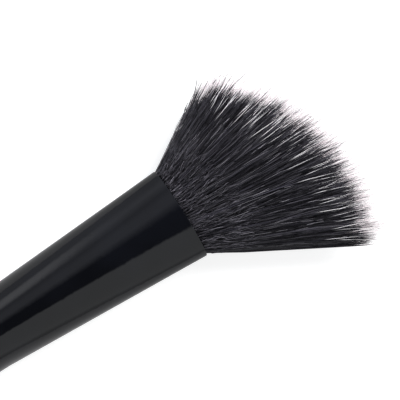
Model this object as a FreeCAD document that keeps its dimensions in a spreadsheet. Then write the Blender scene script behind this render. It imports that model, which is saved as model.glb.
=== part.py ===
import FreeCAD, Part
import math
import os
import Sketcher
from FreeCAD import Vector

# A bronzer brush that lies on its broad side, with its tuft towards +X.
# A turned wooden handle carries a metal ferrule, which is round at the back and drawn out
# to a flat oval mouth. The fibres are set in resin inside the ferrule and fan out of the
# mouth to a slanted, rounded end, with pale tips standing out past the dark mass.
# Every piece is drawn with the tail of the handle at X = 0 and the brush's axis on X, and
# is then moved so that the middle of the whole brush's underside is at the origin.

DRIVING_SIZES = {
    "handle_length": 88.0,
    "tail_radius": 4.6,
    "belly_to_shoulder": 16.0,
    "belly_swell": 0.15,
    "shoulder_step": 0.25,
    "shoulder_chamfer": 0.1,
    "tenon_length": 23.0,
    "tenon_clearance": 0.06,
    "tenon_end_chamfer": 0.8,
    "collar_radius": 8.2,
    "collar_length": 12.0,
    "ferrule_wall": 0.45,
    "crimp_count": 2,
    "crimp_inset": 2.4,
    "crimp_spacing": 2.4,
    "crimp_depth": 0.3,
    "crimp_roll_radius": 0.9,
    "flare_length": 50.0,
    "mouth_half_width": 11.0,
    "mouth_half_thickness": 5.5,
    "lip_radius": 0.18,
    "root_depth": 22.0,
    "resin_grip": 7.0,
    "resin_behind_roots": 5.0,
    "resin_skin": 0.8,
    "resin_clearance": 0.03,
    "fibre_clearance": 0.08,
    "tuft_reach": 40.2,
    "tuft_half_thickness": 8.2,
    "full_thickness_reach": 26.0,
    "high_side_spread": 21.8,
    "high_corner_drop": 19.3,
    "low_side_spread": 29.7,
    "low_corner_drop": 4.6,
    "dome_drop_share": 0.24,
    "lock_count": 32,
    "lock_groove_depth": 0.45,
    "lock_notch_depth": 1.3,
    "fringe_depth": 4.3,
    "fringe_half_thickness": 3.6,
    "fringe_notch_depth": 2.6,
    "fringe_raggedness": 1.1,
}

doc = FreeCAD.newDocument("bronzer_brush")
sheet = doc.addObject("Spreadsheet::Sheet", "sizes")
for row, (alias, value) in enumerate(DRIVING_SIZES.items(), start=1):
    sheet.set(f"A{row}", alias)
    sheet.set(f"B{row}", str(value))
    sheet.setAlias(f"B{row}", alias)
doc.recompute()

# Stations along the brush, counted from the tail of the handle
SHOULDER = "sizes.handle_length"
FLARE_START = f"{SHOULDER} + sizes.collar_length"
MOUTH = f"{FLARE_START} + sizes.flare_length"
ROOTS = f"{MOUTH} - sizes.root_depth"
RESIN_FRONT = f"{ROOTS} + sizes.resin_grip"
RESIN_BACK = f"{ROOTS} - sizes.resin_behind_roots"
TENON_END = f"{SHOULDER} + sizes.tenon_length"
BRUSH_LENGTH = f"{MOUTH} + sizes.tuft_reach"

# Half sizes of the ferrule's bore
BORE_RADIUS = "(sizes.collar_radius - sizes.ferrule_wall)"
MOUTH_BORE_HALF_WIDTH = "(sizes.mouth_half_width - sizes.ferrule_wall)"
MOUTH_BORE_HALF_THICKNESS = "(sizes.mouth_half_thickness - sizes.ferrule_wall)"

# The lip's rounding leaves a flat strip in the middle of the wall's end
LIP_SHARE_OF_WALL = 0.4


def worked_out(expression):
    """The number that an expression on the sheet's sizes gives."""
    return float(sheet.evalExpression(expression))


def bore_half_width(station):
    """The bore's half width at a station of the flare, where it grows evenly to the mouth."""
    share = f"(({station} - ({FLARE_START})) / sizes.flare_length)"
    return f"({BORE_RADIUS} + ({MOUTH_BORE_HALF_WIDTH} - {BORE_RADIUS}) * {share})"


def bore_half_thickness(station):
    """The bore's half thickness at a station of the flare, where it shrinks evenly to the mouth."""
    share = f"(({station} - ({FLARE_START})) / sizes.flare_length)"
    return f"({BORE_RADIUS} + ({MOUTH_BORE_HALF_THICKNESS} - {BORE_RADIUS}) * {share})"


def lay_down(piece):
    """Sets a piece with the middle of the whole brush's underside at the origin."""
    piece.setExpression("Placement.Base.x", f"-({BRUSH_LENGTH}) / 2")
    piece.setExpression("Placement.Base.y", "(sizes.low_side_spread - sizes.high_side_spread) / 2")
    piece.setExpression("Placement.Base.z", "max(sizes.collar_radius; sizes.tuft_half_thickness)")


def new_sketch(body, name, plane_role):
    """An empty sketch on one of its own body's origin planes."""
    sketch = body.newObject("Sketcher::SketchObject", name)
    plane = next(feature for feature in body.Origin.OriginFeatures if feature.Role == plane_role)
    sketch.AttachmentSupport = [(plane, "")]
    sketch.MapMode = "FlatFace"
    return sketch


def bind_size(sketch, constraint_kind, place, name, expression):
    """Adds one named dimension to a sketch and ties it to the sheet."""
    constraint = Sketcher.Constraint(constraint_kind, *place, worked_out(expression))
    index = sketch.addConstraint(constraint)
    sketch.renameConstraint(index, name)
    sketch.setExpression(f"Constraints.{name}", expression)


def round_section(body, name, station, radius):
    """A circle across the brush's axis."""
    sketch = new_sketch(body, name, "YZ_Plane")
    sketch.setExpression("AttachmentOffset.Base.z", station)
    sketch.addGeometry(Part.Circle(Vector(), Vector(0, 0, 1), worked_out(radius)), False)
    sketch.addConstraint(Sketcher.Constraint("Coincident", 0, 3, -1, 1))
    bind_size(sketch, "Radius", (0,), "radius", radius)
    return sketch


def oval_section(body, name, station, half_width, half_thickness):
    """An ellipse across the brush's axis, wide along Y."""
    sketch = new_sketch(body, name, "YZ_Plane")
    sketch.setExpression("AttachmentOffset.Base.z", station)
    sketch.addGeometry(Part.Ellipse(Vector(), worked_out(half_width), worked_out(half_thickness)), False)
    sketch.exposeInternalGeometry(0)
    wide_axis, thin_axis = 1, 2
    sketch.addConstraint(Sketcher.Constraint("Coincident", 0, 3, -1, 1))
    sketch.addConstraint(Sketcher.Constraint("Horizontal", wide_axis))
    first, second = (1, 2)
    if sketch.Geometry[wide_axis].StartPoint.x > sketch.Geometry[wide_axis].EndPoint.x:
        first, second = (2, 1)
    bind_size(sketch, "DistanceX", (wide_axis, first, wide_axis, second), "width", f"2 * {half_width}")
    first, second = (1, 2)
    if sketch.Geometry[thin_axis].StartPoint.y > sketch.Geometry[thin_axis].EndPoint.y:
        first, second = (2, 1)
    bind_size(sketch, "DistanceY", (thin_axis, first, thin_axis, second), "thickness", f"2 * {half_thickness}")
    return sketch


def arc_between(start, end, radius, centre_side):
    """The shorter arc between two points, centred away from the axis for a side of 1."""
    chord = end - start
    across = Vector(-chord.y, chord.x, 0).normalize()
    if across.y * centre_side < 0:
        across = across * -1
    rise = math.sqrt(max(radius ** 2 - (chord.Length / 2) ** 2, 0))
    centre = (start + end) * 0.5 + across * rise
    from_angle = math.atan2(start.y - centre.y, start.x - centre.x)
    to_angle = math.atan2(end.y - centre.y, end.x - centre.x)
    forwards = (to_angle - from_angle) % (2 * math.pi) < math.pi
    circle = Part.Circle(centre, Vector(0, 0, 1), radius)
    if forwards:
        return Part.ArcOfCircle(circle, from_angle, to_angle), 1, 2
    return Part.ArcOfCircle(circle, to_angle, from_angle), 2, 1


def turned_outline(body, name, corners, arcs):
    """A closed outline on the XY plane, to be turned about X.

    corners lists a name, a station and a radius for each corner in order. arcs gives, for
    the corner that an arc starts at, the arc's radius and the side that its centre is on.
    """
    sketch = new_sketch(body, name, "XY_Plane")
    spots = [Vector(worked_out(station), worked_out(radius), 0) for _, station, radius in corners]
    starts = []
    ends = []
    for index, (label, _, _) in enumerate(corners):
        start = spots[index]
        end = spots[(index + 1) % len(spots)]
        if label in arcs:
            arc_radius, centre_side = arcs[label]
            curve, first, last = arc_between(start, end, worked_out(arc_radius), centre_side)
            geometry = sketch.addGeometry(curve, False)
            starts.append((geometry, first))
            ends.append((geometry, last))
        else:
            geometry = sketch.addGeometry(Part.LineSegment(start, end), False)
            starts.append((geometry, 1))
            ends.append((geometry, 2))
    for index, (label, station, radius) in enumerate(corners):
        sketch.addConstraint(Sketcher.Constraint("Coincident", *ends[index - 1], *starts[index]))
        if station == "0" and radius == "0":
            sketch.addConstraint(Sketcher.Constraint("Coincident", *starts[index], -1, 1))
            continue
        bind_size(sketch, "DistanceX", (-1, 1, *starts[index]), f"{label}_station", station)
        if radius == "0":
            sketch.addConstraint(Sketcher.Constraint("PointOnObject", *starts[index], -1))
        else:
            bind_size(sketch, "DistanceY", (-1, 1, *starts[index]), f"{label}_radius", radius)
    for index, (label, _, _) in enumerate(corners):
        if label in arcs:
            bind_size(sketch, "Radius", (starts[index][0],), f"{label}_arc", arcs[label][0])
    return sketch


def turn(body, name, outline):
    """Turns an outline once about the brush's axis."""
    turned = body.newObject("PartDesign::Revolution", name)
    turned.Profile = outline
    turned.ReferenceAxis = (outline, ["H_Axis"])
    turned.Angle = 360
    return turned


def crimp_station(number):
    """The middle of a rolled crimp, counted from the ferrule's back edge."""
    return f"{SHOULDER} + sizes.crimp_inset + {number} * sizes.crimp_spacing"


def crimp_half_length(roll_radius):
    """Half the length of the dip that a roller of this radius leaves at the crimp's depth."""
    return f"sqrt(2 * ({roll_radius}) * sizes.crimp_depth - sizes.crimp_depth ^ 2)"


def crimped_run(label, surface_radius, roll_radius, backwards):
    """The corners and arcs of one face of a crimped tube, running over all its crimps."""
    corners = []
    arcs = {}
    numbers = range(int(worked_out("sizes.crimp_count")))
    for number in reversed(numbers) if backwards else numbers:
        half = crimp_half_length(roll_radius)
        near = f"{crimp_station(number)} - {half}"
        far = f"{crimp_station(number)} + {half}"
        enter, leave = (far, near) if backwards else (near, far)
        corners.append((f"{label}_{number}_enter", enter, surface_radius))
        corners.append((f"{label}_{number}_leave", leave, surface_radius))
        arcs[f"{label}_{number}_enter"] = (roll_radius, 1)
    return corners, arcs


# Handle: turned wood, with a round tail, a long gently swelling belly and a tapered tenon

def make_handle():
    body = doc.addObject("PartDesign::Body", "handle")
    shoulder_radius = "(sizes.collar_radius - sizes.shoulder_step)"
    belly_radius = f"({shoulder_radius} + sizes.belly_swell)"
    belly_station = f"({SHOULDER} - sizes.belly_to_shoulder)"
    tail_run = f"({belly_station} - sizes.tail_radius)"
    long_arc = (
        f"(({tail_run} ^ 2 + {belly_radius} ^ 2 - sizes.tail_radius ^ 2)"
        f" / (2 * ({belly_radius} - sizes.tail_radius)))"
    )
    stretch = f"({long_arc} / ({long_arc} - sizes.tail_radius))"
    front_run = "(sizes.belly_to_shoulder - sizes.shoulder_chamfer)"
    front_arc = f"(({front_run} ^ 2 + sizes.belly_swell ^ 2) / (2 * sizes.belly_swell))"
    tenon_radius = f"({BORE_RADIUS} - sizes.tenon_clearance)"
    tenon_edge = f"({TENON_END} - sizes.tenon_end_chamfer)"
    tenon_edge_radius = f"({bore_half_thickness(tenon_edge)} - sizes.tenon_clearance)"
    grooves, groove_arcs = crimped_run(
        "groove",
        tenon_radius,
        "(sizes.crimp_roll_radius + sizes.ferrule_wall + sizes.tenon_clearance)",
        backwards=False,
    )
    corners = [
        ("tail", "0", "0"),
        (
            "tail_to_belly",
            f"{belly_station} - {tail_run} * {stretch}",
            f"({long_arc} - {belly_radius}) * ({stretch} - 1)",
        ),
        ("belly", belly_station, belly_radius),
        ("shoulder_side", f"{SHOULDER} - sizes.shoulder_chamfer", shoulder_radius),
        ("shoulder_face", SHOULDER, f"{shoulder_radius} - sizes.shoulder_chamfer"),
        ("tenon_foot", SHOULDER, tenon_radius),
        *grooves,
        ("tenon_cone", FLARE_START, tenon_radius),
        ("tenon_edge", tenon_edge, tenon_edge_radius),
        ("tenon_face", TENON_END, f"{tenon_edge_radius} - sizes.tenon_end_chamfer"),
        ("tenon_middle", TENON_END, "0"),
    ]
    arcs = {
        "tail": ("sizes.tail_radius", -1),
        "tail_to_belly": (long_arc, -1),
        "belly": (front_arc, -1),
        **groove_arcs,
    }
    outline = turned_outline(body, "handle_outline", corners, arcs)
    doc.recompute()
    turn(body, "turned_wood", outline)
    doc.recompute()
    return body


def edges_at(feature, station, tolerance=0.01):
    """The names of a feature's edges that lie wholly across the brush's axis at a station."""
    return [
        f"Edge{number}"
        for number, edge in enumerate(feature.Shape.Edges, start=1)
        if abs(edge.BoundBox.XMin - station) < tolerance and abs(edge.BoundBox.XMax - station) < tolerance
    ]


# Ferrule: a thin drawn tube, round at the collar and oval at the mouth, rolled onto the tenon

def make_ferrule():
    body = doc.addObject("PartDesign::Body", "ferrule")
    outside = body.newObject("PartDesign::AdditiveLoft", "flare")
    outside.Profile = round_section(body, "flare_back", FLARE_START, "sizes.collar_radius")
    outside.Sections = [
        oval_section(body, "flare_front", MOUTH, "sizes.mouth_half_width", "sizes.mouth_half_thickness")
    ]
    outside.Ruled = True
    doc.recompute()
    inside = body.newObject("PartDesign::SubtractiveLoft", "flare_bore")
    inside.Profile = round_section(body, "bore_back", FLARE_START, BORE_RADIUS)
    inside.Sections = [
        oval_section(body, "bore_front", MOUTH, MOUTH_BORE_HALF_WIDTH, MOUTH_BORE_HALF_THICKNESS)
    ]
    inside.Ruled = True
    doc.recompute()
    outer_run, outer_arcs = crimped_run(
        "outer", "sizes.collar_radius", "sizes.crimp_roll_radius", backwards=False
    )
    inner_run, inner_arcs = crimped_run(
        "inner", BORE_RADIUS, "(sizes.crimp_roll_radius + sizes.ferrule_wall)", backwards=True
    )
    corners = [
        ("back_outer", SHOULDER, "sizes.collar_radius"),
        *outer_run,
        ("front_outer", FLARE_START, "sizes.collar_radius"),
        ("front_inner", FLARE_START, BORE_RADIUS),
        *inner_run,
        ("back_inner", SHOULDER, BORE_RADIUS),
    ]
    wall = turned_outline(body, "collar_wall", corners, {**outer_arcs, **inner_arcs})
    doc.recompute()
    collar = turn(body, "crimped_collar", wall)
    doc.recompute()
    lip = body.newObject("PartDesign::Fillet", "mouth_lip")
    lip.Base = (collar, edges_at(collar, worked_out(MOUTH)))
    lip.setExpression("Radius", f"min(sizes.lip_radius; {LIP_SHARE_OF_WALL} * sizes.ferrule_wall)")
    doc.recompute()
    return body


# Resin: poured behind and around the fibre roots, it fills the bore

def make_resin():
    body = doc.addObject("PartDesign::Body", "glue_plug")
    clearance = "sizes.resin_clearance"
    poured = body.newObject("PartDesign::AdditiveLoft", "poured_resin")
    poured.Profile = oval_section(
        body,
        "resin_back",
        RESIN_BACK,
        f"({bore_half_width(RESIN_BACK)} - {clearance})",
        f"({bore_half_thickness(RESIN_BACK)} - {clearance})",
    )
    poured.Sections = [
        oval_section(
            body,
            "resin_front",
            RESIN_FRONT,
            f"({bore_half_width(RESIN_FRONT)} - {clearance})",
            f"({bore_half_thickness(RESIN_FRONT)} - {clearance})",
        )
    ]
    poured.Ruled = True
    doc.recompute()
    roots = body.newObject("PartDesign::SubtractiveLoft", "root_pocket")
    roots.Profile = oval_section(
        body,
        "pocket_back",
        ROOTS,
        f"({bore_half_width(ROOTS)} - sizes.resin_skin)",
        f"({bore_half_thickness(ROOTS)} - sizes.resin_skin)",
    )
    roots.Sections = [
        oval_section(
            body,
            "pocket_front",
            RESIN_FRONT,
            f"({bore_half_width(RESIN_FRONT)} - sizes.resin_skin)",
            f"({bore_half_thickness(RESIN_FRONT)} - sizes.resin_skin)",
        )
    ]
    roots.Ruled = True
    doc.recompute()
    return body


class Facets:
    """Collects the flat faces of a closed solid, with shared corners."""

    def __init__(self):
        self.points = []
        self.faces = []
        self.known = {}

    def corner(self, point):
        """The number of a corner, which is kept once however many faces share it."""
        key = (round(point.x, 6), round(point.y, 6), round(point.z, 6))
        if key not in self.known:
            self.known[key] = len(self.points)
            self.points.append(Vector(*key))
        return self.known[key]

    def triangle(self, *corners):
        """Adds a face, unless two of its corners are one, as at the sides of the fan."""
        face = tuple(self.corner(point) for point in corners)
        if len(set(face)) == 3:
            self.faces.append(face)

    def sheet(self, rows):
        """Joins rows of points into a sheet, seen from outside with its rows running left to right."""
        for row, above in zip(rows, rows[1:]):
            for column in range(len(row) - 1):
                self.triangle(row[column], row[column + 1], above[column + 1])
                self.triangle(row[column], above[column + 1], above[column])

    def solid(self):
        """The closed solid that the faces bound."""
        shell = Part.Shape()
        shell.makeShapeFromMesh((self.points, self.faces), 0.0001, False)
        return Part.makeSolid(Part.makeShell(shell.Faces))


class Fan:
    """The lines that the fibres follow, from the mouth to the slanted end of the tuft.

    A fibre is named by its place across the fan, from -1 on the low side to 1 on the high
    side, and its place through the thickness, from -1 underneath to 1 on top.
    """

    SIDE_ROUNDNESS = 2.6

    def __init__(self):
        self.mouth = worked_out(MOUTH)
        self.mouth_half_width = worked_out(f"{MOUTH_BORE_HALF_WIDTH} - sizes.fibre_clearance")
        self.mouth_half_thickness = worked_out(f"{MOUTH_BORE_HALF_THICKNESS} - sizes.fibre_clearance")
        self.half_thickness = worked_out("sizes.tuft_half_thickness")
        self.full_thickness_reach = worked_out("sizes.full_thickness_reach")
        self.dome_drop_share = worked_out("sizes.dome_drop_share")
        self.groove_depth = worked_out("sizes.lock_groove_depth")
        self.columns = self.places_across(int(worked_out("sizes.lock_count")))
        self.set_end_arc()

    def places_across(self, locks):
        """Places across the fan, a ridge and a groove for each lock, closer together at the sides."""
        count = 2 * locks
        return [math.sin(math.pi / 2 * (2 * number / count - 1)) for number in range(count + 1)]

    def set_end_arc(self):
        """Finds the arc through both corners of the fan that just touches its full reach."""
        reach = worked_out("sizes.tuft_reach")
        high_drop = worked_out("sizes.high_corner_drop")
        low_drop = worked_out("sizes.low_corner_drop")
        high = worked_out("sizes.high_side_spread")
        low = -worked_out("sizes.low_side_spread")
        # Both corners are one radius from the centre, which gives a quadratic in its Y.
        square = 1 / high_drop - 1 / low_drop
        linear = -2 * (high / high_drop - low / low_drop)
        constant = high_drop - low_drop + high ** 2 / high_drop - low ** 2 / low_drop
        spread = math.sqrt(linear ** 2 - 4 * square * constant)
        roots = [(-linear + spread) / (2 * square), (-linear - spread) / (2 * square)]
        centre_y = min(roots, key=lambda root: abs(root - (high + low) / 2))
        self.end_radius = (high_drop ** 2 + (high - centre_y) ** 2) / (2 * high_drop)
        self.end_centre = Vector(reach - self.end_radius, centre_y, 0)
        self.high_angle = math.atan2(high - centre_y, self.end_radius - high_drop)
        self.low_angle = math.atan2(low - centre_y, self.end_radius - low_drop)

    def end(self, across):
        """Where a fibre of the full length ends, in plan, counted from the mouth."""
        angle = self.low_angle + (self.high_angle - self.low_angle) * (across + 1) / 2
        return self.end_centre + Vector(math.cos(angle), math.sin(angle), 0) * self.end_radius

    def length(self, across):
        """The plan length of a fibre outside the mouth."""
        return (self.end(across) - Vector(0, self.mouth_half_width * across, 0)).Length

    def rim(self, across, share):
        """How far through the thickness the fan reaches at a place across it."""
        roundness = 2 + (self.SIDE_ROUNDNESS - 2) * share
        return max(1 - abs(across) ** roundness, 0) ** (1 / roundness)

    def domed_share(self, across, through, shortfall):
        """The share of its full length that a fibre keeps: less off the middle layer."""
        dome = 1 - self.dome_drop_share * (through * self.rim(across, 1)) ** 2
        return dome - shortfall / self.length(across)

    def point(self, across, through, share, grooved=False):
        """A point of a fibre at a share of its full length outside the mouth."""
        end = self.end(across)
        ahead = share * end.x
        sideways = self.mouth_half_width * across * (1 - share) + share * end.y
        growth = math.sin(math.pi / 2 * min(ahead / self.full_thickness_reach, 1))
        thickness = self.mouth_half_thickness + (self.half_thickness - self.mouth_half_thickness) * growth
        height = thickness * self.rim(across, share)
        if grooved:
            height = max(height - self.groove_depth * share, height / 2)
        return Vector(self.mouth + ahead, sideways, through * height)


def fringe_steps():
    """Places through the thickness, from one edge of the pale fringe's seat to the other."""
    edge = worked_out("sizes.fringe_half_thickness / sizes.tuft_half_thickness")
    return [-edge, -edge / 2, 0, edge / 2, edge]


def through_steps():
    """Places through the whole thickness, from the underside to the top."""
    seat = fringe_steps()
    outer = (1 + seat[-1]) / 2
    return [-1, -outer, *seat, outer, 1]


def dark_row(fan, through, part_of_length=1):
    """Points across the fan at a part of the dark fibres' length.

    The dark fibres stop short of the pale ones, and every second column is the groove
    between two locks, which ends in a notch.
    """
    fringe = worked_out("sizes.fringe_depth")
    notch = worked_out("sizes.lock_notch_depth")
    row = []
    for column, across in enumerate(fan.columns):
        grooved = column % 2 == 1
        shortfall = fringe + notch if grooved else fringe
        share = fan.domed_share(across, through, shortfall) * part_of_length
        row.append(fan.point(across, through, share, grooved))
    return row


def root_row(fan, through, station):
    """Points across the upper or lower half of the fibres' oval bundle inside the resin."""
    half_width = worked_out(f"{bore_half_width(station)} - sizes.resin_skin")
    half_thickness = worked_out(f"{bore_half_thickness(station)} - sizes.resin_skin")
    return [
        Vector(
            worked_out(station),
            half_width * across,
            half_thickness * through * math.sqrt(max(1 - across ** 2, 0)),
        )
        for across in fan.columns
    ]


# Dark bristles: one mass from the roots in the resin to the notched, domed end of the locks

def make_dark_bristles(fan):
    rows_outside = 10
    upper, lower = (
        [root_row(fan, through, ROOTS), root_row(fan, through, RESIN_FRONT)]
        + [dark_row(fan, through, number / rows_outside) for number in range(rows_outside + 1)]
        for through in (1, -1)
    )
    mass = Facets()
    mass.sheet([list(reversed(row)) for row in upper])
    mass.sheet(lower)
    mass.sheet([dark_row(fan, through) for through in through_steps()])
    mass.sheet([upper[0], lower[0]])
    piece = doc.addObject("Part::Feature", "dark_bristles")
    piece.Shape = mass.solid()
    return piece


# Pale bristles: a ragged fringe of tips, three layers deep, on the middle of the dark end

def pale_row(fan, through, layer):
    """The tips of one layer of the fringe: long and short in turn, and none quite alike."""
    ragged = worked_out("sizes.fringe_raggedness")
    notch = worked_out("sizes.fringe_notch_depth")
    golden_share = (math.sqrt(5) - 1) / 2
    last = len(fan.columns) - 1
    furthest = max(range(last), key=lambda column: fan.end(fan.columns[column]).x)
    row = []
    for column, across in enumerate(fan.columns):
        shortfall = ragged * ((column * (layer + 1) * golden_share) % 1)
        if (column + layer) % 2:
            shortfall = notch
        if column in (0, last) or (layer == 0 and column == furthest):
            shortfall = 0
        row.append(fan.point(across, through, fan.domed_share(across, through, shortfall)))
    return row


def make_pale_bristles(fan):
    steps = fringe_steps()
    seat = [dark_row(fan, through) for through in steps]
    middle = steps.index(0)
    tips = [pale_row(fan, steps[step], abs(step - middle)) for step in range(1, len(steps) - 1)]
    fringe = Facets()
    fringe.sheet([list(reversed(row)) for row in seat])
    fringe.sheet([seat[0], *tips, seat[-1]])
    piece = doc.addObject("Part::Feature", "pale_bristles")
    piece.Shape = fringe.solid()
    return piece


fan = Fan()
pieces = [make_handle(), make_ferrule(), make_resin(), make_dark_bristles(fan), make_pale_bristles(fan)]
for piece in pieces:
    lay_down(piece)
doc.recompute()

for item in doc.Objects:
    if "Invalid" in item.State or "Error" in item.State:
        raise RuntimeError(f"{item.Name} could not be worked out: {item.State}")
for piece in pieces:
    if piece.Shape.isNull() or not piece.Shape.isValid():
        raise RuntimeError(f"{piece.Label} has no valid shape")

os.makedirs("parts", exist_ok=True)
for piece in pieces:
    piece.Shape.exportStep(f"parts/{piece.Label}.step")
    box = piece.Shape.optimalBoundingBox(True)
    print(
        f"{piece.Label}: {len(piece.Shape.Solids)} solid, {piece.Shape.Volume:.1f} mm3, "
        f"X {box.XMin:.2f}..{box.XMax:.2f}, Y {box.YMin:.2f}..{box.YMax:.2f}, Z {box.ZMin:.2f}..{box.ZMax:.2f}"
    )
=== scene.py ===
"""Dresses the bronzer brush for its picture.

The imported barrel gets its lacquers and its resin, the tuft is laid fibre by fibre over a packed
heart, and a studio and a camera stand round the brush.
"""
import logging
import math
from dataclasses import dataclass, replace
from enum import Enum
from typing import Mapping, Sequence

import bpy
import numpy as np
from bpy.types import ColorRamp, ID, Light, Material, NodeSocket, Object, World
from mathutils import Matrix, Vector


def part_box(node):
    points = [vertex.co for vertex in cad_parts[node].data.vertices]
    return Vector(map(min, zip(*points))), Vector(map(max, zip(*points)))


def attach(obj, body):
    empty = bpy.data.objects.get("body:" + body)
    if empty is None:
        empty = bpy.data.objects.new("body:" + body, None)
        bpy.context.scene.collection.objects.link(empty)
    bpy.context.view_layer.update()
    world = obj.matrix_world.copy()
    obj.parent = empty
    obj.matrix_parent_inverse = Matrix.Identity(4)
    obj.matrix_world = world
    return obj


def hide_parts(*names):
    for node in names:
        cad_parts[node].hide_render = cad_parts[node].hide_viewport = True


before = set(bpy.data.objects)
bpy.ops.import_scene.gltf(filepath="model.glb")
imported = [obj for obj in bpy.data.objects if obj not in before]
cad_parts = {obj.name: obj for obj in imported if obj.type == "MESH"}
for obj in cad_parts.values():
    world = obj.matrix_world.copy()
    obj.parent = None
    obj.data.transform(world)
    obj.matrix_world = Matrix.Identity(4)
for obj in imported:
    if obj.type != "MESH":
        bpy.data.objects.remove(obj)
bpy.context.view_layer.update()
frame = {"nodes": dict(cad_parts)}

Colour = tuple[float, float, float]
Place = tuple[float, float, float]
Pair = tuple[float, float]
Table = tuple[tuple[float, ...], tuple[float, ...]]
Array = np.ndarray

LOG = logging.getLogger("bronzer_brush")
MILLIMETRE = 0.001
BODY = "root"

# The fibres' map: its columns are tones, each with a margin at both sides, and its height stands
# for so many millimetres of fibre, counted back from the tip.
STRAND_MAP = "OFBake"
TONE_COLUMNS = 48
COLUMN_MARGIN = 0.1
CHART_REACH = 48.0

# A number, its square and its cube, whose multiples fill a unit cube without clumps.
EVEN_STEPS = (0.8191725134, 0.6710436067, 0.5497004779)

OUTPUT_NODES = {
    Material: "ShaderNodeOutputMaterial",
    World: "ShaderNodeOutputWorld",
    Light: "ShaderNodeOutputLight",
}


# Shader nodes written as expressions


class Value:
    """A node's output. The operators on it add the Math nodes of their tree."""

    def __init__(self, graph: "Graph", socket: NodeSocket | None) -> None:
        """Wraps one output of one tree."""
        self.graph = graph
        self.socket = socket

    def _math(self, operation: str, *operands: "Value | float") -> "Value":
        """Adds a Math node of that operation on the operands, in their order."""
        inputs = dict(enumerate(operands))
        return self.graph.node("ShaderNodeMath", {"operation": operation}, inputs)

    def __add__(self, other: "Value | float") -> "Value":
        """This and the other, added."""
        return self._math("ADD", self, other)

    __radd__ = __add__

    def __sub__(self, other: "Value | float") -> "Value":
        """This less the other."""
        return self._math("SUBTRACT", self, other)

    def __rsub__(self, other: "Value | float") -> "Value":
        """The other less this."""
        return self._math("SUBTRACT", other, self)

    def __mul__(self, other: "Value | float") -> "Value":
        """This and the other, multiplied."""
        return self._math("MULTIPLY", self, other)

    __rmul__ = __mul__

    def __truediv__(self, other: "Value | float") -> "Value":
        """This divided by the other."""
        return self._math("DIVIDE", self, other)

    def __pow__(self, other: "Value | float") -> "Value":
        """This raised to the other."""
        return self._math("POWER", self, other)

    def larger(self, other: "Value | float") -> "Value":
        """The larger of this and the other."""
        return self._math("MAXIMUM", self, other)

    def fraction(self) -> "Value":
        """What is left of this after its whole number."""
        return self._math("FRACT", self)

    def swinging(self) -> "Value":
        """A sine wave of this, between 0 and 1."""
        return self._math("SINE", self) * 0.5 + 0.5

    def angle_from(self, upwards: "Value") -> "Value":
        """The angle, from straight up, of the point that lies this far sideways and so far up."""
        return self._math("ARCTAN2", self, upwards)

    def eased(self, low: "Value | float", high: "Value | float") -> "Value":
        """A smooth step from 0 where this is low to 1 where it is high."""
        return self.graph.node(
            "ShaderNodeMapRange",
            {"interpolation_type": "SMOOTHSTEP"},
            {"Value": self, "From Min": low, "From Max": high},
        )


class Graph:
    """The node tree of a material, the world or a lamp."""

    def __init__(self, owner: Material | World | Light) -> None:
        """Empties the owner's tree, ready for new nodes."""
        self.output_kind = next(
            kind for owner_type, kind in OUTPUT_NODES.items() if isinstance(owner, owner_type)
        )
        owner.use_nodes = True
        self.tree = owner.node_tree
        self.tree.nodes.clear()

    def node(
        self,
        kind: str,
        settings: Mapping[str, object] | None = None,
        sockets: Mapping[str | int, object] | None = None,
        output: str | int = 0,
    ) -> Value:
        """Adds any node.

        Args:
            kind: The node's Blender type.
            settings: Its settings, which are set first. "stops" are a ramp's, each a position
                and a colour.
            sockets: Values or links for its input sockets, by name or number.
            output: The output that is wanted, by name or number.

        Returns:
            That output, or an empty value for a node that has none.
        """
        made = self.tree.nodes.new(kind)
        for name, setting in (settings or {}).items():
            if name == "stops":
                self._set_stops(made.color_ramp, setting)
            else:
                setattr(made, name, setting)
        for name, given in (sockets or {}).items():
            if isinstance(given, Value):
                self.tree.links.new(given.socket, made.inputs[name])
            else:
                made.inputs[name].default_value = given
        return Value(self, made.outputs[output] if made.outputs else None)

    @staticmethod
    def _set_stops(ramp: ColorRamp, stops: Sequence[tuple[float, Colour]]) -> None:
        """Gives a ramp its stops, in rising order."""
        while len(ramp.elements) > 1:
            ramp.elements.remove(ramp.elements[-1])
        for number, (place, colour) in enumerate(stops):
            stop = ramp.elements[0] if number == 0 else ramp.elements.new(place)
            stop.position = place
            stop.color = (*colour, 1.0)

    def noise(self, place: Value, waves: float, detail: float) -> Value:
        """Noise between 0 and 1, with so many waves to a unit of the place."""
        sockets = {"Vector": place, "Scale": waves, "Detail": detail}
        return self.node("ShaderNodeTexNoise", None, sockets)

    def streaks(self, place: Value, waves: Place, detail: float) -> Value:
        """Noise that has its own number of waves along each axis."""
        drawn = self.node("ShaderNodeMapping", None, {"Vector": place, "Scale": waves})
        return self.noise(drawn, 1.0, detail)

    def part(self, vector: Value, axis: str) -> Value:
        """A vector's number along one axis."""
        return self.node("ShaderNodeSeparateXYZ", None, {0: vector}, axis)

    def blend(self, share: Value | float, first: object, second: object) -> Value:
        """The colour that is first where share is 0 and second where it is 1."""
        colours = {0: share, 6: self._opaque(first), 7: self._opaque(second)}
        return self.node("ShaderNodeMix", {"data_type": "RGBA"}, colours, output=2)

    @staticmethod
    def _opaque(colour: object) -> object:
        """A plain colour of three numbers with its alpha added; a link stays as it is."""
        return colour if isinstance(colour, Value) else (*colour, 1.0)

    def surface(self, shader: Value) -> None:
        """Makes the shader the tree's own."""
        self.node(self.output_kind, None, {"Surface": shader})

    def principled(self, sockets: Mapping[str, object]) -> None:
        """Makes a Principled shader with those sockets the tree's own."""
        self.surface(self.node("ShaderNodeBsdfPrincipled", None, sockets))


# Finishes


def blank_material(name: str) -> tuple[Material, Graph]:
    """A new material and its emptied tree."""
    made = bpy.data.materials.new(name)
    return made, Graph(made)


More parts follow.
